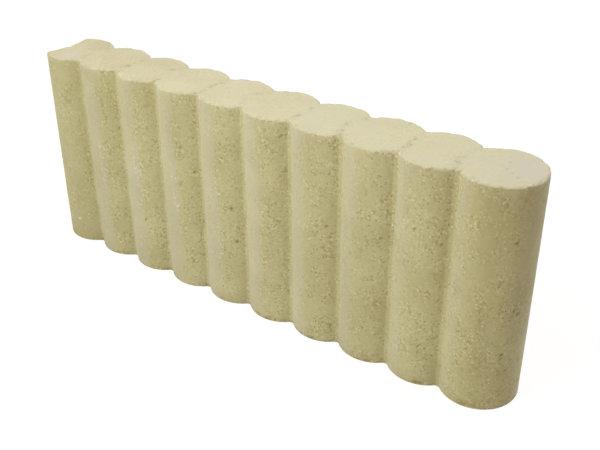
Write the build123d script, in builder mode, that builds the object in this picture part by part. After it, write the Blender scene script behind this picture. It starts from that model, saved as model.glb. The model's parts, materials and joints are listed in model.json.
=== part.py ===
"""Garden border edging: one cast concrete block, a row of round columns that nests end to end.

X runs along the border, -Y is the front, Z is up. The origin is on the ground, in the middle
of the length that the block covers when it is laid.
"""

from build123d import *

import os

# Driving dimensions, in millimetres
column_count = 10        # round columns in the row
column_pitch = 50.0      # between column centres, so ten columns cover 500 mm of border
column_diameter = 67.0   # also the thickness of the block
block_height = 200.0
valley_radius = 3.5      # the mould's fillet in the groove between two columns
joint_clearance = 1.2    # left between the socket and the round end that nests in it
horn_radius = 3.0        # blunt corners at both sides of the socket
arris_radius = 1.5       # eased edge all round the top

# Worked out from the driving dimensions
column_radius = column_diameter / 2
socket_radius = column_radius + joint_clearance
socket_centre = -(column_count + 1) / 2 * column_pitch   # where the next block's end column stands

with BuildPart() as edging_block:
    with BuildSketch() as section:
        # The columns overlap, and each groove where two of them meet is filled to an even curve
        with GridLocations(column_pitch, 0, column_count, 1):
            Circle(column_radius)
        by_depth = section.vertices().group_by(Axis.Y)
        fillet(by_depth[0] + by_depth[-1], valley_radius)

        # One end is hollowed to take the round end of the block before it
        with Locations((socket_centre, 0)):
            Circle(socket_radius, mode=Mode.SUBTRACT)
        fillet(section.vertices().group_by(Axis.X)[0], horn_radius)
    extrude(amount=block_height)

    top_face = edging_block.faces().sort_by(Axis.Z)[-1]
    fillet(top_face.edges(), arris_radius)

edging_block.part.label = "edging_block"

os.makedirs("parts", exist_ok=True)
export_step(edging_block.part, "parts/edging_block.step")

box = edging_block.part.bounding_box()
print(f"edging_block {box.size.X:.2f} x {box.size.Y:.2f} x {box.size.Z:.2f} mm")
print(f"from x {box.min.X:.2f} to {box.max.X:.2f} mm, volume {edging_block.part.volume / 1e6:.4f} litres")
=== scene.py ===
# %% [markdown]
# # A garden border edging block
#
# The real object is one block of buff concrete: ten round columns pressed side by side, with a
# round end and a hollow end, so that blocks nest into a row along a flower bed. The CAD frame has
# its true size and section. This lesson gives it the skin that the eye knows concrete by: sandy
# grain, small pits, worn edges, faint creases on top and a dry, chalky colour.

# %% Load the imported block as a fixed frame
import json
import math

import bpy
import numpy as np
from mathutils import Matrix, Vector


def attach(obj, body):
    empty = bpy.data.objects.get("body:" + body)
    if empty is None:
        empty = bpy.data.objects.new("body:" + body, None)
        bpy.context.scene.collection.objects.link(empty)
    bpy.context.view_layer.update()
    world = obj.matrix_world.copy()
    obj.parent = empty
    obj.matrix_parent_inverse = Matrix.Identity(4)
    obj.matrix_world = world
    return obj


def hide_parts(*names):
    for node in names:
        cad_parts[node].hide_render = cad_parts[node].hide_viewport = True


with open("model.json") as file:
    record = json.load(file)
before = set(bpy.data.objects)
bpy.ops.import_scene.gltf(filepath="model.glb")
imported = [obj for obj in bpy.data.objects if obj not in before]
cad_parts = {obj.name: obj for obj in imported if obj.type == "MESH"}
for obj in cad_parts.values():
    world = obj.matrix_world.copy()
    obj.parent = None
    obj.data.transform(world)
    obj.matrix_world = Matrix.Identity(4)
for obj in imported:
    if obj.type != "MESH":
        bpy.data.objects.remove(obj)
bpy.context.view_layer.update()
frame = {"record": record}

# %% [markdown]
# ## Sizes
#
# A skin that is worked out from the same few sizes as the solid lies exactly on it. The round end
# and the hollow end are mounts of the imported record, so their radii and places are read from there.
# Only the count of columns, the two fillets and the eased top edge are given again here. The
# rubbed edge of the foot is the skin's own. All sizes are in millimetres.

# %% The block's sizes in millimetres
COLUMN_COUNT = 10
VALLEY_RADIUS = 3.5     # fillet in the groove between two columns
HORN_RADIUS = 3.0       # blunt corners beside the hollow end
ARRIS_RADIUS = 1.5      # eased edge round the top
FOOT_RADIUS = 0.6       # the foot's edge, a little rubbed

mounts = {mount["name"]: mount for mount in frame["record"]["mounts"]}
HEIGHT = mounts["round_end"]["dims"]["length_mm"]
COLUMN_RADIUS = mounts["round_end"]["dims"]["r_mm"]
SOCKET_RADIUS = mounts["end_socket"]["dims"]["r_mm"]
LAST_COLUMN = 1000 * mounts["round_end"]["pos_m"][0] - COLUMN_RADIUS
PITCH = 2 * LAST_COLUMN / (COLUMN_COUNT - 1)
column_x = np.linspace(-LAST_COLUMN, LAST_COLUMN, COLUMN_COUNT)
print(f"columns {2 * COLUMN_RADIUS} mm across, every {PITCH:.1f} mm, {HEIGHT} mm high")

# %% [markdown]
# ## The section
#
# Seen from above, the front of the block is a chain of circular arcs that run smoothly into each
# other: hollow, horn, column, valley, column and so on to the round end. The back is its mirror
# image. A chain of arcs needs only centres, radii and angles, so every point and every outward
# direction is exact, which a traced outline would never be.

# %% The front half of the outline as a chain of arcs
def front_arcs():
    """Rows of centre x and y, radius, first and last angle, and 1 for a bulge or -1 for a hollow.

    A fillet's centre lies at the sum of the two radii from each circle that it touches from outside,
    and at their difference from one that it touches from inside. Two such distances from two
    centres one pitch apart fix it, by the law of cosines.
    """
    valley_y = -math.sqrt((COLUMN_RADIUS + VALLEY_RADIUS) ** 2 - (PITCH / 2) ** 2)
    turn = math.atan2(PITCH / 2, -valley_y)
    front = 1.5 * math.pi
    inwards = 0.5 * math.pi

    socket_x = column_x[0] - PITCH
    from_socket = SOCKET_RADIUS + HORN_RADIUS
    from_column = COLUMN_RADIUS - HORN_RADIUS
    across = (from_socket**2 - from_column**2 + PITCH**2) / (2 * PITCH)
    horn_x = socket_x + across
    horn_y = -math.sqrt(from_socket**2 - across**2)
    socket_end = math.atan2(horn_y, across)
    horn_end = math.atan2(horn_y, horn_x - column_x[0]) + 2 * math.pi

    arcs = [
        (socket_x, 0, SOCKET_RADIUS, 0, socket_end, -1),
        (horn_x, horn_y, HORN_RADIUS, socket_end + math.pi, horn_end, 1),
    ]
    for x in column_x:
        start = horn_end if x == column_x[0] else front - turn
        stop = 2 * math.pi if x == column_x[-1] else front + turn
        arcs.append((x, 0, COLUMN_RADIUS, start, stop, 1))
        arcs.append((x + PITCH / 2, valley_y, VALLEY_RADIUS, inwards + turn, inwards - turn, -1))
    return np.array(arcs[:-1])


arcs = front_arcs()
print(len(arcs), "arcs from the hollow's middle to the tip of the round end")


# %% Even points along the arcs, closed by the mirror image
SKIN_STEP = 2.0                  # spacing of the skin's points, fine enough for pits 4 mm wide
SKIN_TURN = math.radians(14)     # and no coarser than this round a small fillet


def outline_from(arcs):
    """Points round the whole section and their outward directions.

    Each arc is cut into equal pieces, as many as its length over the step or its angle over the
    turn asks for. A point is the centre plus the radius along its angle, and outwards is that
    direction, or its opposite on a hollow arc. The back repeats the front with y turned round.
    """
    centre_x, centre_y, radius, first, last, side = arcs.T
    sweep = last - first
    pieces = np.maximum(radius * np.abs(sweep) / SKIN_STEP, np.abs(sweep) / SKIN_TURN)
    pieces = np.ceil(pieces).astype(int)
    arc = np.repeat(np.arange(len(arcs)), pieces)
    share = (np.arange(len(arc)) - (np.cumsum(pieces) - pieces)[arc]) / pieces[arc]
    arc = np.append(arc, len(arcs) - 1)
    share = np.append(share, 1.0)
    angle = first[arc] + share * sweep[arc]
    ray = np.stack([np.cos(angle), np.sin(angle)], axis=1)
    points = np.stack([centre_x, centre_y], axis=1)[arc] + radius[arc, None] * ray
    outwards = side[arc, None] * ray
    mirror = np.array([1, -1])
    points[[0, -1], 1] = 0.0
    return (np.concatenate([points, points[-2:0:-1] * mirror]),
            np.concatenate([outwards, outwards[-2:0:-1] * mirror]))


outline, outwards = outline_from(arcs)
print(len(outline), "points round the section")

# %% [markdown]
# ## One skin over the whole block
#
# The block could be six faces that are joined later, but seams would show where the grain stops.
# Here one grid wraps it all: one parameter goes round the section, the other follows the block's
# half profile from the middle of the foot, out to its edge, up the wall, over the eased arris and in
# to the middle of the top. The first and last rows fall on the block's centre line, where the
# front and the back meet and are welded.

# %% The half profile as rows
FOOT_ROWS, FOOT_SPREAD = 12, 0.7     # rows across the hidden foot, closer towards its edge
FOOT_EDGE_ROWS, ARRIS_ROWS = 4, 5    # rows round the lower and the upper edge


def half_profile():
    """Rows of share, inset, height and tilt.

    Share is how far the row lies from the centre line towards the edge, inset moves the edge in,
    and tilt is the angle by which outwards points up. Round an edge of radius r and at angle a,
    the inset is r (1 - cos a) and the height changes by r sin a.
    """
    quarter = math.pi / 2
    foot_in = np.linspace(0, 1, FOOT_ROWS)[:-1] ** FOOT_SPREAD
    foot_edge = np.linspace(-quarter, 0, FOOT_EDGE_ROWS)
    wall = np.linspace(FOOT_RADIUS, HEIGHT - ARRIS_RADIUS, round(HEIGHT / SKIN_STEP))[1:-1]
    arris = np.linspace(0, quarter, ARRIS_ROWS)
    top_in = np.linspace(1, 0, round(COLUMN_RADIUS / SKIN_STEP) + 1)[1:]
    flat = np.zeros_like
    full = np.ones_like
    rows = [
        (foot_in, full(foot_in) * FOOT_RADIUS, flat(foot_in), full(foot_in) * -quarter),
        (full(foot_edge), FOOT_RADIUS * (1 - np.cos(foot_edge)),
         FOOT_RADIUS * (1 + np.sin(foot_edge)), foot_edge),
        (full(wall), flat(wall), wall, flat(wall)),
        (full(arris), ARRIS_RADIUS * (1 - np.cos(arris)),
         HEIGHT - ARRIS_RADIUS * (1 - np.sin(arris)), arris),
        (top_in, full(top_in) * ARRIS_RADIUS, full(top_in) * HEIGHT, full(top_in) * quarter),
    ]
    return np.concatenate([np.stack(row, axis=1) for row in rows])


profile = half_profile()
print(len(profile), "rows from the middle of the foot to the middle of the top")


# %% Carry the profile round the section
def centre_line(outline):
    """For each point of the section, the nearest one between the end columns' centres."""
    return np.stack([outline[:, 0].clip(column_x[0], column_x[-1]), 0 * outline[:, 0]], axis=1)


def wrap(profile, outline, outwards):
    """A grid of points and normals: rows of the profile by points of the section.

    A point is the centre line plus the share of the way to the edge, and the edge is the outline
    less the inset along outwards. The centre line runs between the end columns' centres, so the
    points of each round end fan out from one centre. Normals tip up from outwards by the tilt.
    """
    share, inset, height, tilt = profile.T[:, :, None, None]
    spine = centre_line(outline)
    flat = spine + share * (outline - outwards * inset - spine)
    level = np.broadcast_to(height, (*flat.shape[:2], 1))
    rise = np.broadcast_to(np.sin(tilt), level.shape)
    return (np.concatenate([flat, level], axis=2),
            np.concatenate([np.cos(tilt) * outwards, rise], axis=2))


grid, normals = wrap(profile, outline, outwards)
print("skin grid", grid.shape)

# %% [markdown]
# ## Relief
#
# Pressed concrete is never smooth. Its relief is a depth below the ideal skin, so it only takes
# material away and the block keeps its size. Four causes are added up, each with its own seeded
# field: the mould's slow waves and the sand's grain, the shallow creases that the press leaves
# across the top, where one column ends and the next begins, edges that were knocked when the
# block left its mould, and pits where air was trapped. The few pits that can be told apart in the
# photograph are put where they are seen, and the rest are strewn. Last, the horns beside the
# hollow end lean in towards the top, as they do on this block.

# %% Smooth steps, smooth noise and round dents
def ease(value, start, full):
    """0 up to the start, 1 from full on, and 3 t^2 - 2 t^3 between them."""
    t = ((value - start) / (full - start)).clip(0, 1)
    return t * t * (3 - 2 * t)


def lattice_noise(points, cell, seed):
    """Noise from -1 to 1 that changes over about one cell, in millimetres.

    Every corner of a cubic lattice has a random value. A point blends the eight corners of its
    cell, each weighted by the product over the axes of t or 1 - t, with t eased as 3 t^2 - 2 t^3.
    """
    place = points / cell
    corner = np.floor(place).astype(int)
    t = place - corner
    t = t * t * (3 - 2 * t)
    corner -= corner.min(axis=0)
    values = np.random.default_rng(seed).uniform(-1, 1, corner.max(axis=0) + 2)
    total = np.zeros(len(points))
    for step in np.ndindex(2, 2, 2):
        weight = np.prod(np.where(step, t, 1 - t), axis=1)
        total += weight * values[tuple((corner + step).T)]
    return total


def pit_depth(points, centres, radii, depths):
    """Round dents: within its radius r, a pit at distance d is depth times (1 - (d / r)^2)^2 deep.

    Where pits overlap, the deepest counts.
    """
    depth = np.zeros(len(points))
    for centre, radius, deepest in zip(centres, radii, depths):
        inside = 1 - np.sum((points - centre) ** 2, axis=1) / radius**2
        depth = np.maximum(depth, deepest * inside.clip(0) ** 2)
    return depth


# %% Where on the block each point lies
UPRIGHT, LEVEL = 0.01, 1.5    # radians: walls tilt by less, the top and the foot by more
points = grid.reshape(-1, 3)
share, _, height, tilt = np.repeat(profile, len(outline), axis=0).T
reach = np.linalg.norm(outline - centre_line(outline), axis=1)
from_edge = (1 - share) * np.tile(reach, len(profile))
on_wall = np.abs(tilt) < UPRIGHT
on_top = tilt > LEVEL
on_foot = tilt < -LEVEL
from_arris = np.where(on_top, from_edge, HEIGHT - height)
from_foot = np.where(on_foot, from_edge, height)
print(int(on_wall.sum()), "points on the walls,", int(on_top.sum()), "on the top")

# %% Mould waves and sand grain
WAVE_MM, WAVE_DEPTH = 55.0, 0.35
LUMP_MM, LUMP_DEPTH = 9.0, 0.12
GRAIN_MM, GRAIN_DEPTH = 3.4, 0.16
TOP_SMOOTHNESS = 0.6    # the top was struck off, which smooths most of its grain away

depth = sum(
    deep * (0.5 + 0.5 * lattice_noise(points, cell, seed))
    for seed, (cell, deep) in enumerate(
        [(WAVE_MM, WAVE_DEPTH), (LUMP_MM, LUMP_DEPTH), (GRAIN_MM, GRAIN_DEPTH)], start=11)
)
depth *= np.where(on_top, 1 - TOP_SMOOTHNESS, 1.0)
print(f"grain and waves up to {depth.max():.2f} mm deep")

# %% Creases across the top
CREASE_DEPTH, CREASE_WIDTH = 0.25, 3.2
CREASE_BOW = 8.5                          # every second crease bows this far towards the hollow end
CREASE_WAVER, WAVER_MM = 2.0, 8.0         # and all of them waver
BREAK_MM, BIT_MM = 9.0, 3.0               # they are broken in stretches and in bits
BREAK_EVEN, BREAK_SHARE = 0.55, 0.5       # what stays on average, and how far each noise changes it
BREAK_LIMITS = 0.1, 1.2                   # the least and the most that stays anywhere
CREASE_MIDDLE, CREASE_FALL = 0.8, 0.02    # and fainter towards the back, by so much a millimetre


def crease_strength(points):
    """From 0 to 1 on the lines across the top where one column ends and the next one begins.

    It is exp(-(d / width)^2), with d the distance along x from the line, which wavers. A bowed line
    is a parabola between the places where the two rounds cross, at y^2 = radius^2 - (pitch / 2)^2.
    """
    strength = np.zeros(len(points))
    crossing = COLUMN_RADIUS**2 - (PITCH / 2) ** 2
    waver = CREASE_WAVER * lattice_noise(points, WAVER_MM, 23)
    for number, x in enumerate(column_x[:-1] + PITCH / 2):
        bow = CREASE_BOW if number % 2 == 0 else 0.0
        line = x - bow * (1 - points[:, 1] ** 2 / crossing) + waver
        strength = np.maximum(strength, np.exp(-((points[:, 0] - line) / CREASE_WIDTH) ** 2))
    return strength


broken = BREAK_EVEN + BREAK_SHARE * lattice_noise(points, BREAK_MM, 21)
broken += BREAK_SHARE * lattice_noise(points, BIT_MM, 22)
creased = on_top * crease_strength(points) * broken.clip(*BREAK_LIMITS)
creased *= CREASE_MIDDLE - CREASE_FALL * points[:, 1]
creases = CREASE_DEPTH * creased
depth += creases
print(f"creases between {COLUMN_COUNT} tops, up to {creases.max():.2f} mm deep")

# %% Worn edges
WEAR_DEPTH, WEAR_FADE = 0.9, 1.8
KNOCK_MM, CRUMBLE_MM = 6.0, 2.6           # knocked stretches, and crumbled bits in them
CRUMBLE_SHARE, FOOT_SHARE = 0.6, 0.8      # how much the bits and the foot's edge have of it
WEAR_EVEN, WEAR_MOST = 0.25, 1.2          # what all edges have, and the most where noise adds to it
edge_noise = lattice_noise(points, KNOCK_MM, 31)
edge_noise += CRUMBLE_SHARE * lattice_noise(points, CRUMBLE_MM, 32)
worn = (WEAR_EVEN + edge_noise).clip(0, WEAR_MOST)
near_edge = np.exp(-from_arris / WEAR_FADE) + FOOT_SHARE * np.exp(-from_foot / WEAR_FADE)
depth += ~on_foot * WEAR_DEPTH * worn * near_edge
print(f"edges worn by up to {(WEAR_DEPTH * worn * near_edge).max():.2f} mm")


# %% Pits that the photograph shows, and pits strewn over the rest
def on_column(column, degrees, height):
    """The place on a column's face, with the angle turned from the front towards the round end."""
    angle = math.radians(degrees)
    x = column_x[column - 1] + COLUMN_RADIUS * math.sin(angle)
    return np.array([x, -COLUMN_RADIUS * math.cos(angle), height])


PITS_SEEN = [    # column, degrees, height, radius
    (5, 24, 103, 2.6), (5, 32, 69, 2.4), (9, -2, 146, 1.6), (10, 48, 54.5, 1.9), (10, 48, 50, 1.5),
    (10, 60, 94, 1.9), (10, 65, 91, 1.9), (10, 48, 154, 1.7), (6, 36, 186, 1.5), (4, 37, 124, 1.7),
    (7, 30, 118, 1.6), (8, 34, 125, 1.1), (3, 9, 57, 2.0), (2, 42, 143, 1.4), (9, 35, 137, 1.2),
    (4, 42, 36, 1.0),
]
PIT_SLOPE = 0.38                     # depth over radius
IN_CREASE = 0.3                      # a crease is at least this strong where pits lie in it
EDGE_BAND, TOP_MARGIN = 2.5, 3.0     # width of the knocked edges, and what the top's pits keep off
rng = np.random.default_rng(7)


def scatter(where, count, radius, deep):
    """Centres drawn from the skin's own points, with radii and depths even between their limits."""
    centres = points[rng.choice(np.flatnonzero(where), count, replace=False)]
    return centres, rng.uniform(*radius, count), rng.uniform(*deep, count)


def nearest_point(place):
    """The skin's own point that lies nearest, so that a small pit keeps its full depth."""
    return points[np.argmin(np.sum((points - place) ** 2, axis=1))]


seen = np.array([nearest_point(on_column(*mark[:3])) for mark in PITS_SEEN])
radii = np.array([mark[3] for mark in PITS_SEEN])
seen_pits = pit_depth(points, seen, radii, PIT_SLOPE * radii)
pits = seen_pits
for where, count, radius, deep in [
    (on_wall, 220, (1.6, 2.2), (0.2, 0.6)),
    (on_wall, 10, (1.8, 2.4), (0.5, 0.8)),
    (on_top & (creased > IN_CREASE), 60, (1.6, 1.9), (0.4, 0.9)),
    (on_top & (from_arris > TOP_MARGIN), 25, (1.6, 2.0), (0.3, 0.7)),
    (from_arris < EDGE_BAND, 60, (2.0, 3.6), (0.3, 0.8)),
    (~on_foot & (from_foot < EDGE_BAND), 60, (2.4, 5.0), (0.5, 1.4)),
]:
    pits = np.maximum(pits, pit_depth(points, *scatter(where, count, radius, deep)))
depth += pits
print(f"{len(PITS_SEEN)} pits as seen, relief up to {depth.max():.2f} mm deep")

# %% Lower the skin by its relief and lean the horns
HORN_LEAN = 2.6      # inwards at the top
HORN_START = 10.0    # it starts this far from the hollow's middle and is full at twice as far
depth[on_foot] = 0.0
skin = points - normals.reshape(-1, 3) * depth[:, None]
toward_end = ease(-points[:, 0], -column_x[0] - PITCH / 2, -column_x[0] + PITCH / 2)
toward_horn = ((np.abs(points[:, 1]) - HORN_START) / HORN_START).clip(0, 1)
skin[:, 0] += HORN_LEAN * toward_end * toward_horn * points[:, 2] / HEIGHT
print("skin box, mm:", skin.min(axis=0).round(2), skin.max(axis=0).round(2))


# %% Weld the grid into a closed mesh
WELD_DIGITS = 5                  # points that agree to so many digits of a millimetre are one
SHARP_TURN = math.radians(55)    # edges that turn by more aren't shaded smooth


def closed_mesh(name, points, rows, around):
    """Two triangles in each cell of a grid that closes round, with equal points welded into one.

    Triangles that lose a side in the weld, at the centre line and the fans, are dropped. Also
    gives the place in the grid of each welded point.
    """
    places, first, weld = np.unique(points.round(WELD_DIGITS) + 0.0, axis=0,
                                    return_index=True, return_inverse=True)
    index = weld.reshape(rows, around)
    low, high = index[:-1], index[1:]
    low_next, high_next = np.roll(low, -1, axis=1), np.roll(high, -1, axis=1)
    halves = [(low, low_next, high_next), (low, high_next, high)]
    triangles = np.concatenate([np.stack(half, axis=2).reshape(-1, 3) for half in halves])
    whole = np.all(triangles != np.roll(triangles, 1, axis=1), axis=1)
    mesh = bpy.data.meshes.new(name)
    mesh.from_pydata(places / 1000, [], triangles[whole])
    mesh.shade_smooth()
    mesh.set_sharp_from_angle(angle=SHARP_TURN)
    return mesh, first


mesh, first = closed_mesh("cast_block", skin, *grid.shape[:2])
block = bpy.data.objects.new("cast_block", mesh)
bpy.context.scene.collection.objects.link(block)
print(len(mesh.vertices), "vertices,", len(mesh.polygons), "triangles")

# %% [markdown]
# ## Buff concrete
#
# The material is pressed concrete of yellow sand and pale cement, struck from a steel mould and
# left dry. That gives the eye a matte, chalky surface with no shine. The ground is a cloudy buff.
# Single grains of sand are a little paler or darker than the cement round them, and show most where
# the cement has washed off or crumbled. A thin film of lime, drawn out as the block dried, hides the
# grains. The film is also partly painted light, which makes the top and the left flanks greyer and
# paler, and painted light and shade in the tone of the mix make the right flanks, the foot and the
# top paler and the end columns and the grooves darker. Painted shade darkens the pits, the pin holes
# and the creases, and white streaks and a few chips come on top. One even pattern would be simpler,
# but where each of these lies depends on the block's shape and on what the photograph shows. So their
# amounts are worked out point by point and kept as attributes of the skin. The grains read Object
# coordinates, so their pattern is solid and runs round edges as in the real block.

# %% Where on its column each point lies
facing_x, facing_z = normals.reshape(-1, 3)[:, [0, 2]].T
along = points[:, 0] / LAST_COLUMN    # -1 at the first column's axis, 1 at the last one's
from_axis = points[:, 0] - column_x[np.abs(points[:, :1] - column_x).argmin(axis=1)]
degrees = np.degrees(np.arctan2(from_axis, np.abs(points[:, 1])))    # 0 in front, 90 on the right
first_column = ease(-points[:, 0], -column_x[1] - PITCH / 4, -column_x[0])
last_column = ease(points[:, 0], column_x[-1] - PITCH / 2, column_x[-1] + PITCH / 4)
print(f"{degrees.min():.0f} to {degrees.max():.0f} degrees round the columns")

# %% The lime film, partly painted light on the top and the left flanks
TOP_FILM_AND_PAINTED_LIGHT, TOP_FILM_RISE = 0.40, 0.07        # on the top, partly lime film and partly painted light on the upward face, and how much more towards the round end
RIM_FILM, RIM_FADE = 0.14, 6.0              # on the walls below the top, where it ran over
FLANK_FILM_AND_PAINTED_LIGHT, FLANK_FILM_FALL = 0.27, 0.18    # lime film and painted light on flanks that face the hollow end, less on the last
FLANK_START, FLANK_START_RISE = -53, 5      # degrees where it starts, later further along
FLANK_STOP, FLANK_STOP_FALL = 9, 14         # and where it ends, sooner further along
FLANK_COMES, FLANK_GOES = 17, 20            # degrees over which it comes and goes
FIRST_FLANK_BARE = 0.7                      # the share of it that the first column lacks
ROUND_END_GREYING = 0.14                       # greyer and paler on the faces turned towards the round end's side
ROUND_END_FACING = 0.7, 0.95                # x of the normal where that starts and is full
FILM_CLOUDS, FILM_CLOUD_MM = 0.2, 26.0      # it lies in clouds
WALL_RUNS, TOP_RUNS, RUN_MM = 0.5, 0.15, 5.0    # and in runs, mostly on the walls
RUN_SQUEEZE = 0.2                           # which are five times as long as wide


def flank_film_and_painted_light(degrees, along):
    """Eases in from the groove and out again towards the front, on a narrower band further along.

    From the middle of the block on, it falls with the cube of the way to the last column.
    """
    # The film on these flanks is partly lime and partly painted light, paler and greyer where they face
    # the light from the left.
    start = FLANK_START + FLANK_START_RISE * along
    stop = FLANK_STOP - FLANK_STOP_FALL * along
    amount = FLANK_FILM_AND_PAINTED_LIGHT - FLANK_FILM_FALL * along.clip(0) ** 3
    comes = ease(degrees, start, start + FLANK_COMES)
    goes = ease(degrees, stop - FLANK_GOES, stop)
    return amount * comes * (1 - goes)


# Painted light: the film on the top is partly there because the top faces up to the light.
film = facing_z.clip(0) * (TOP_FILM_AND_PAINTED_LIGHT + TOP_FILM_RISE * along)
film += on_wall * RIM_FILM * np.exp(-from_arris / RIM_FADE)
film += on_wall * flank_film_and_painted_light(degrees, along) * (1 - FIRST_FLANK_BARE * first_column)
film += ROUND_END_GREYING * ease(facing_x, *ROUND_END_FACING)
film *= 1 + FILM_CLOUDS * lattice_noise(points, FILM_CLOUD_MM, 41)
drawn_down = points * [1, 1, RUN_SQUEEZE]
film *= 1 + np.where(on_wall, WALL_RUNS, TOP_RUNS) * lattice_noise(drawn_down, RUN_MM, 42)
print(f"lime film {film.mean():.2f} on average, {film[on_top].mean():.2f} on the top")

# %% Pale patches and streaks that the photograph shows
PATCHES_SEEN = [(-219, -20, 12), (240, 3, 16)]    # place on the top and radius
PATCH_FILM = 0.4
STREAKS_SEEN = [    # column, degrees, lower and upper end, width
    (2, 3, 60, 140, 2.2), (3, 2, 68, 140, 3.2), (4, -1, 74, 132, 3.4), (5, 2, 38, 125, 3.4),
]
STREAK_FILM, STREAK_GRAINS = 0.35, 0.24    # film, and the share of grains that are white there
STREAK_EVEN, STREAK_MM = 0.4, 3.0          # an even share, and noise that breaks them into bits


def streak(points, column, degrees, lower, upper, width):
    """A vertical streak: exp(-(d / width)^2) across, with ends that fade over a fifth of its length."""
    across = np.linalg.norm(points[:, :2] - on_column(column, degrees, 0)[:2], axis=1)
    fade = (upper - lower) / 5
    ends = ease(points[:, 2], lower, lower + fade) * ease(-points[:, 2], -upper, fade - upper)
    return np.exp(-(across / width) ** 2) * ends


for x, y, radius in PATCHES_SEEN:
    from_patch = (points[:, 0] - x) ** 2 + (points[:, 1] - y) ** 2
    film += on_top * PATCH_FILM * np.exp(-from_patch / radius**2)
crumbly = (STREAK_EVEN + lattice_noise(points, STREAK_MM, 45)).clip(0)
streaks = crumbly * sum(streak(points, *mark) for mark in STREAKS_SEEN)
film += STREAK_FILM * streaks
white_grains = STREAK_GRAINS * streaks
print(len(PATCHES_SEEN), "pale patches and", len(STREAKS_SEEN), "streaks")

# %% How pale the mix is, with painted light and painted shade in it
MIX_PALENESS = 0.55                     # from 0 for the deep buff to 1 for the pale one
CLOUD_TONE, CLOUD_MM = 0.3, 60.0        # with large clouds
SPOT_TONE, SPOT_MM = 0.25, 18.0         # and small ones
END_COLUMN_PAINTED_SHADE = 0.33                         # painted shade: the first and the last column are darker than the rest, where less light reaches them
END_TONE_STOP = 20, 38                  # degrees over which that stops on the last one
FOOT_PAINTED_LIGHT = 0.25                        # painted light: the mix is this much paler at the foot than at the top, against the dimmer light there
LOW_DARKENING, LOW_DARKENING_FADE = 0.20, 15.0     # but faintly darker just above the ground
GROOVE_PAINTED_SHADE = 0.20                      # painted shade: grooves towards the round end are darker
GROOVE_TURN, GROOVE_ALONG = (36, 45), (-0.3, 0.8)    # degrees and way along: start and full
RIGHT_FLANK_PAINTED_LIGHT = 0.20                       # and painted light makes flanks that face that end paler, but for the last two
RIGHT_TURN, RIGHT_ALONG = (-5, 30), (-0.9, -0.6)     # the same, but back from the round end
TOP_TONE_AND_PAINTED_LIGHT, TOP_TONE_RISE = 0.20, 0.28    # the top is paler, most so towards that end, partly in its own tone and partly as painted light on the upward face
RIM_TONE, RIM_TONE_FADE = 0.45, 2.0     # and so are bits of its knocked edge
RIM_TONE_EVEN, RIM_TONE_MM = 0.5, 5.0   # as an even share, and noise with bits of this size

paleness = MIX_PALENESS + CLOUD_TONE * lattice_noise(points, CLOUD_MM, 43)
paleness += SPOT_TONE * lattice_noise(points, SPOT_MM, 44)
front_of_last = last_column * (1 - ease(degrees, *END_TONE_STOP))
paleness -= END_COLUMN_PAINTED_SHADE * (first_column + on_wall * front_of_last)
paleness += FOOT_PAINTED_LIGHT * (0.5 - points[:, 2] / HEIGHT) * on_wall
paleness -= LOW_DARKENING * np.exp(-from_foot / LOW_DARKENING_FADE)
paleness -= GROOVE_PAINTED_SHADE * on_wall * ease(-degrees, *GROOVE_TURN) * ease(along, *GROOVE_ALONG)
paleness += RIGHT_FLANK_PAINTED_LIGHT * on_wall * ease(degrees, *RIGHT_TURN) * ease(-along, *RIGHT_ALONG)
paleness += facing_z.clip(0) * (TOP_TONE_AND_PAINTED_LIGHT + TOP_TONE_RISE * along)
rim_bits = (RIM_TONE_EVEN + lattice_noise(points, RIM_TONE_MM, 46)).clip(0)
paleness += RIM_TONE * np.exp(-from_arris / RIM_TONE_FADE) * rim_bits
print(f"paleness {paleness[on_wall].mean():.2f} on the walls, {paleness[on_top].mean():.2f} on the top")

# %% Loose grains, painted shade in pits and creases, and white chips
RIM_CRUMBS, RIM_CRUMBS_FADE = 0.9, 2.5      # loose grains along the rim of the top
RIM_CRUMBS_EVEN, RIM_CRUMBS_MM = 0.3, 8.0   # again an even share, and the size of the bits
CREASE_CRUMBS, STREAK_CRUMBS = 1.0, 0.5     # along its creases, and beside the streaks
TOP_CRUMBS = 0.12                           # and all over the top
CEMENT_LEFT = 0.20                          # hides grains on the first column and high on the last
CEMENT_HEIGHTS = 90, 150                    # where that starts and is full
PAINTED_SHADE_DEPTH, STREWN_SHARE = 0.7, 0.3         # depth at which a pit's painted shade is full, and how much of that a strewn one has
CREASE_PAINTED_SHADE = 0.13                         # painted shade along the creases
CHIPS_SEEN = [    # column, degrees, height, radius and how much it covers
    (1, 7, 25, 2.4, 1.0), (4, 2, 86, 2.2, 0.8), (7, 33, 175, 3.6, 0.5),
]

rim_grains = (RIM_CRUMBS_EVEN + lattice_noise(points, RIM_CRUMBS_MM, 47)).clip(0)
crumbs = RIM_CRUMBS * np.exp(-from_arris / RIM_CRUMBS_FADE) * rim_grains
crumbs += CREASE_CRUMBS * creased + STREAK_CRUMBS * streaks
crumbs += TOP_CRUMBS * on_top
high_on_last = ease(points[:, 0], column_x[-1] - PITCH / 4, column_x[-1])
high_on_last *= ease(height, *CEMENT_HEIGHTS)
crumbs -= CEMENT_LEFT * on_wall * (first_column + high_on_last)
# Painted shade in the pits and along the creases, kept as the pit attribute.
dark = np.maximum(seen_pits, STREWN_SHARE * pits) / PAINTED_SHADE_DEPTH + CREASE_PAINTED_SHADE * creased
chip_places = [nearest_point(on_column(*chip[:3])) for chip in CHIPS_SEEN]
chip_radii, chip_cover = np.array(CHIPS_SEEN)[:, 3:].T
chips = pit_depth(points, chip_places, chip_radii, chip_cover)
print(len(CHIPS_SEEN), "chips, and pits darkened by", f"{dark.max():.2f} at most")

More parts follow.
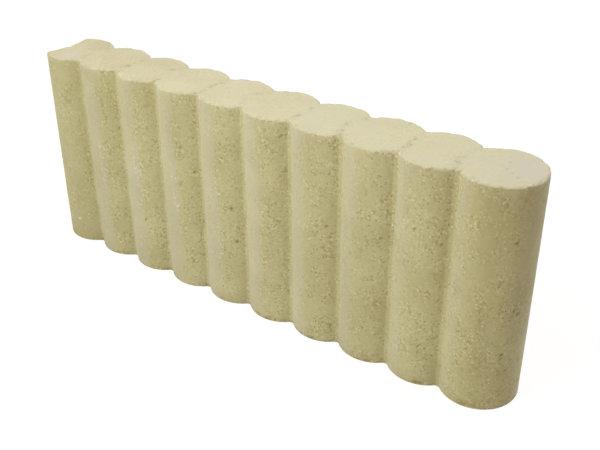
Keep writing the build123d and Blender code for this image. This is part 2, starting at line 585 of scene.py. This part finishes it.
# %% Keep the amounts as attributes of the skin
amounts = {"lime_film_and_painted_light": film, "paleness": paleness, "pit": dark, "chip": chips,
           "crumbs": crumbs, "white_grains": white_grains}
for name, values in amounts.items():
    values = values[first].clip(-1, 1).astype(np.float32)
    mesh.attributes.new(name, "FLOAT", "POINT").data.foreach_set("value", values)
print("attributes:", *amounts)


# %% Colours and one helper for nodes
def srgb(code):
    """Linear colour from an sRGB hex value: below 0.04045 c / 12.92, else ((c + 0.055) / 1.055)^2.4."""
    value = np.array([int(code[i:i + 2], 16) for i in (1, 3, 5)]) / 255
    linear = np.where(value <= 0.04045, value / 12.92, ((value + 0.055) / 1.055) ** 2.4)
    return (*linear.tolist(), 1.0)


def add_node(tree, kind, inputs=None, **settings):
    """Adds a shader node, sets its properties, and sets or links each named input."""
    made = tree.nodes.new("ShaderNode" + kind)
    for name, value in settings.items():
        setattr(made, name, value)
    for name, value in (inputs or {}).items():
        if isinstance(value, bpy.types.NodeSocket):
            tree.links.new(value, made.inputs[name])
        else:
            made.inputs[name].default_value = value
    return made


BUFF_DEEP = srgb("#BBB284")
BUFF_PALE = srgb("#D1CCA0")
SAND_PALE = srgb("#F0E7BB")
SAND_DARK = srgb("#8E7A44")
# The lime colour also carries the painted light of the film on the top and the left flanks.
LIME = srgb("#CAC5BB")
CHIP_WHITE = srgb("#F2EEE0")
# The colour of the painted shade in pits, pin holes and creases.
PAINTED_PIT_SHADE = srgb("#7E743F")
print("cement ground between", np.round(BUFF_DEEP[:3], 2), "and", np.round(BUFF_PALE[:3], 2))


# %% Where the sand shows
NOISE_DETAIL = 2.0
WASHED_MM = 14.0    # patches where the cement has washed off
WASHED = {"From Min": 0.35, "From Max": 0.65, "To Min": 0.25, "To Max": 1.0}      # noise to bare sand
UNCOVERED = {"From Min": 0.06, "From Max": 0.42, "To Min": 1.0, "To Max": 0.2}    # film to bare sand


def sand_that_shows(tree, place, amount):
    """From 0 to 1: the washed patches times what the film leaves bare, plus the loose grains."""
    patches = add_node(tree, "TexNoise",
                       {"Vector": place, "Scale": 1000 / WASHED_MM, "Detail": NOISE_DETAIL})
    washed = add_node(tree, "MapRange", {"Value": patches.outputs["Fac"], **WASHED})
    uncovered = add_node(tree, "MapRange", {"Value": amount["lime_film_and_painted_light"], **UNCOVERED})
    shows = add_node(tree, "Math",
                     {0: washed.outputs[0], 1: uncovered.outputs[0], 2: amount["crumbs"]},
                     operation="MULTIPLY_ADD", use_clamp=True)
    return shows.outputs[0]


print(f"washed patches of about {WASHED_MM:.0f} mm")


# %% Ground, grains and lime
ODD_GRAIN = 0.68                          # grains with a draw above this differ from the ground
PALE_GRAIN, DARK_GRAIN = 0.55, 0.56       # how far the oddest goes towards its own colour
UNEVEN = {"To Min": 0.5, "To Max": 1.5}   # the film is thinner on one grain than on the next
MIX_A, MIX_B, MIX_OUT = 6, 7, 2           # a colour Mix node's sockets


def sandy_colour(tree, draw, shows, amount):
    """From deep to pale buff, then the odd grain where the sand shows, then lime by the film."""
    # The paleness also carries painted shade on the end columns and in the grooves, and painted light
    # at the foot, on the right flanks and on the top.
    ground = add_node(tree, "Mix", {0: amount["paleness"], MIX_A: BUFF_DEEP, MIX_B: BUFF_PALE},
                      data_type="RGBA")
    colour = ground.outputs[MIX_OUT]
    for channel, most, grain in [(0, PALE_GRAIN, SAND_PALE), (1, DARK_GRAIN, SAND_DARK)]:
        odd = add_node(tree, "MapRange",
                       {"Value": draw.outputs[channel], "From Min": ODD_GRAIN, "To Max": most})
        share = add_node(tree, "Math", {0: odd.outputs[0], 1: shows}, operation="MULTIPLY")
        sandy = add_node(tree, "Mix", {0: share.outputs[0], MIX_A: colour, MIX_B: grain},
                         data_type="RGBA")
        colour = sandy.outputs[MIX_OUT]
    uneven = add_node(tree, "MapRange", {"Value": draw.outputs[2], **UNEVEN})
    covered = add_node(tree, "Math", {0: amount["lime_film_and_painted_light"], 1: uneven.outputs[0]},
                       operation="MULTIPLY", use_clamp=True)
    filmed = add_node(tree, "Mix", {0: covered.outputs[0], MIX_A: colour, MIX_B: LIME},
                      data_type="RGBA")
    return filmed.outputs[MIX_OUT]


print(f"{1 - ODD_GRAIN:.0%} of the grains pale, and as many dark")


# %% Pin holes, pits, white grains and chips
PIN_SPACING_MM = 4.5     # about one pin hole in each cell of this size
PIN_RADIUS_MM = 0.75
PIN_SHADE = 0.5          # how much painted shade a pin hole has beside a pit
WHITE_GRAIN = 0.42       # how far a white grain goes towards the chips' colour


def pin_holes(tree, place):
    """From 1 in the middle of a cell to 0 at the radius that the cell has drawn."""
    pins = add_node(tree, "TexVoronoi", {"Vector": place, "Scale": 1000 / PIN_SPACING_MM})
    draw = add_node(tree, "SeparateColor", {"Color": pins.outputs["Color"]})
    size = add_node(tree, "Math", {0: draw.outputs[0], 1: PIN_RADIUS_MM / PIN_SPACING_MM},
                    operation="MULTIPLY")
    hole = add_node(tree, "MapRange", {"Value": pins.outputs["Distance"], "From Max": size.outputs[0],
                                       "To Min": 1.0, "To Max": 0.0})
    return hole.outputs[0]


def marked_colour(tree, colour, pin_hole, draw, shows, amount):
    """Shade in the pits and in the pin holes where the sand shows, then white grains and chips."""
    hole = add_node(tree, "Math", {0: pin_hole, 1: shows}, operation="MULTIPLY")
    shade = add_node(tree, "Math", {0: hole.outputs[0], 1: PIN_SHADE, 2: amount["pit"]},
                     operation="MULTIPLY_ADD", use_clamp=True)
    pitted = add_node(tree, "Mix", {0: shade.outputs[0], MIX_A: colour, MIX_B: PAINTED_PIT_SHADE},
                      data_type="RGBA")
    white = add_node(tree, "Math", {0: draw.outputs[2], 1: amount["white_grains"]},
                     operation="LESS_THAN")
    bright = add_node(tree, "Math", {0: white.outputs[0], 1: WHITE_GRAIN, 2: amount["chip"]},
                      operation="MULTIPLY_ADD", use_clamp=True)
    chipped = add_node(tree, "Mix",
                       {0: bright.outputs[0], MIX_A: pitted.outputs[MIX_OUT], MIX_B: CHIP_WHITE},
                       data_type="RGBA")
    return chipped.outputs[MIX_OUT]


print(f"pin holes of up to {2 * PIN_RADIUS_MM} mm, about every {PIN_SPACING_MM} mm")


# %% The concrete material
SAND_MM = 1.6                      # sand grains, a little coarser than real so that they show
GRIT_MM = 1.0                      # the rough ground between the grains
ROUGH_DEPTH_MM = 0.35
GRAIN_SLOPE, PIN_DIP = -0.5, -0.8  # how far the bump falls away from a grain and into a pin hole


def buff_concrete():
    """Pressed concrete, matte and sandy: typical index 1.5 and a roughness of 0.92 all over.

    The bump's height is the grit, less the distance from a grain's middle, less the pin holes.
    """
    material = bpy.data.materials.new("pressed_buff_concrete")
    material.use_nodes = True
    tree = material.node_tree
    shader = tree.nodes["Principled BSDF"]
    place = add_node(tree, "TexCoord").outputs["Object"]
    amount = {name: add_node(tree, "Attribute", attribute_name=name).outputs["Fac"] for name in amounts}

    shows = sand_that_shows(tree, place, amount)
    sand = add_node(tree, "TexVoronoi", {"Vector": place, "Scale": 1000 / SAND_MM})
    draw = add_node(tree, "SeparateColor", {"Color": sand.outputs["Color"]})
    pin_hole = pin_holes(tree, place)
    colour = sandy_colour(tree, draw, shows, amount)
    colour = marked_colour(tree, colour, pin_hole, draw, shows, amount)
    tree.links.new(colour, shader.inputs["Base Color"])

    grit = add_node(tree, "TexNoise",
                    {"Vector": place, "Scale": 1000 / GRIT_MM, "Detail": NOISE_DETAIL})
    ground = add_node(tree, "Math",
                      {0: sand.outputs["Distance"], 1: GRAIN_SLOPE, 2: grit.outputs["Fac"]},
                      operation="MULTIPLY_ADD")
    with_holes = add_node(tree, "Math", {0: pin_hole, 1: PIN_DIP, 2: ground.outputs[0]},
                          operation="MULTIPLY_ADD")
    bump = add_node(tree, "Bump", {"Height": with_holes.outputs[0], "Strength": shows,
                                   "Distance": ROUGH_DEPTH_MM / 1000})
    tree.links.new(bump.outputs["Normal"], shader.inputs["Normal"])
    shader.inputs["Roughness"].default_value = 0.92
    shader.inputs["IOR"].default_value = 1.5
    shader.inputs["Specular IOR Level"].default_value = 0.3
    shader.inputs["Diffuse Roughness"].default_value = 0.5
    return material


mesh.materials.append(buff_concrete())
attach(block, "root")
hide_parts("edging_block")
print("material on", block.name, "with", len(mesh.materials[0].node_tree.nodes), "nodes")

# %% [markdown]
# ## Stage, light and camera
#
# The floor and the surroundings are plain white to the camera, as behind a cut-out product picture.
# Other rays see a greyer floor, so that it doesn't light the block from below. The light is soft and
# comes from all round, with a key lamp in front, cool daylight on the left flanks and on the top,
# and a little warm light on the flanks that face right.

# %% Floor and surroundings
FLOOR_SIZE = 8.0
FLOOR_GLOW = 0.84
FLOOR_GREY = srgb("#808080")
WHITE = srgb("#FFFFFF")


def white_to_camera(tree):
    """A factor of 1 for rays that show as background: from the camera, or by gloss or glass."""
    path = add_node(tree, "LightPath")
    shown = path.outputs["Is Camera Ray"]
    for kind in ("Is Glossy Ray", "Is Transmission Ray"):
        either = add_node(tree, "Math", {0: shown, 1: path.outputs[kind]}, operation="MAXIMUM")
        shown = either.outputs[0]
    return shown


def studio_floor():
    """A square sheet under the block that glows nearly white to the camera and takes its shadow."""
    half = FLOOR_SIZE / 2
    corners = np.array([(-half, -half, 0), (half, -half, 0), (half, half, 0), (-half, half, 0)])
    sheet = bpy.data.meshes.new("studio_floor")
    sheet.from_pydata(corners, [], [(0, 1, 2, 3)])
    material = bpy.data.materials.new("white_floor")
    material.use_nodes = True
    tree = material.node_tree
    shader = tree.nodes["Principled BSDF"]
    shader.inputs["Base Color"].default_value = FLOOR_GREY
    shader.inputs["Roughness"].default_value = 1.0
    shader.inputs["Specular IOR Level"].default_value = 0.0
    shader.inputs["Emission Color"].default_value = WHITE
    glow = add_node(tree, "Math", {0: white_to_camera(tree), 1: FLOOR_GLOW}, operation="MULTIPLY")
    tree.links.new(glow.outputs[0], shader.inputs["Emission Strength"])
    sheet.materials.append(material)
    floor = bpy.data.objects.new("studio_floor", sheet)
    bpy.context.scene.collection.objects.link(floor)


AMBIENT = srgb("#FFF4E5")
AMBIENT_STRENGTH = 0.675


def studio_world():
    """White where the camera looks past the floor, and a dim warm light from all round otherwise."""
    world = bpy.data.worlds.new("studio_world")
    world.use_nodes = True
    tree = world.node_tree
    light = tree.nodes["Background"]
    light.inputs["Color"].default_value = AMBIENT
    light.inputs["Strength"].default_value = AMBIENT_STRENGTH
    white = add_node(tree, "Background", {"Color": WHITE, "Strength": 1.0})
    choice = add_node(tree, "MixShader",
                      {0: white_to_camera(tree), 1: light.outputs[0], 2: white.outputs[0]})
    tree.links.new(choice.outputs[0], tree.nodes["World Output"].inputs["Surface"])
    bpy.context.scene.world = world


studio_floor()
studio_world()
print("white floor and surroundings")


# %% Lamps
BLOCK_MIDDLE = Vector((0, 0, HEIGHT / 2 / 1000))


def softbox(name, place, size, power, colour):
    """A square area lamp in metres and watts that faces the middle of the block."""
    lamp = bpy.data.lights.new(name, "AREA")
    lamp.size = size
    lamp.energy = power
    lamp.color = srgb(colour)[:3]
    box = bpy.data.objects.new(name, lamp)
    box.location = place
    box.rotation_euler = (BLOCK_MIDDLE - box.location).to_track_quat("-Z", "Y").to_euler()
    bpy.context.scene.collection.objects.link(box)


softbox("front_key", (-0.11, -0.6, 0.64), 0.4, 3.3, "#FAFFFA")
softbox("warm_right", (1.08, -1.48, 0.6), 1.0, 0.95, "#FFD8A4")
softbox("cool_left", (-1.35, -1.14, 1.87), 1.0, 9.8, "#D4E6FF")
softbox("cool_back", (0.9, 2.2, 0.6), 1.2, 37, "#D4E6FF")
print("four softboxes")

# %% Camera at the photograph's viewing angle
EYE_MM = (439.2, -536.8, 475.5)
AIM_MM = (42.9, 0.0, 90.0)
LENS_MM, SENSOR_MM = 52.07, 36.0
ROLL = math.radians(-0.33)


def product_camera():
    """Looks from the eye to the aim, then rolls about the line of sight."""
    eye, aim = Vector(EYE_MM) / 1000, Vector(AIM_MM) / 1000
    lens = bpy.data.cameras.new("product_camera")
    lens.lens = LENS_MM
    lens.sensor_width = SENSOR_MM
    camera = bpy.data.objects.new("product_camera", lens)
    turn = (aim - eye).to_track_quat("-Z", "Y").to_matrix().to_4x4()
    camera.matrix_world = Matrix.Translation(eye) @ turn @ Matrix.Rotation(ROLL, 4, "Z")
    bpy.context.scene.collection.objects.link(camera)
    bpy.context.scene.camera = camera
    return camera


camera = product_camera()
bpy.context.scene.view_settings.view_transform = "Standard"
print("camera", [round(x, 3) for x in camera.location], "lens", LENS_MM)
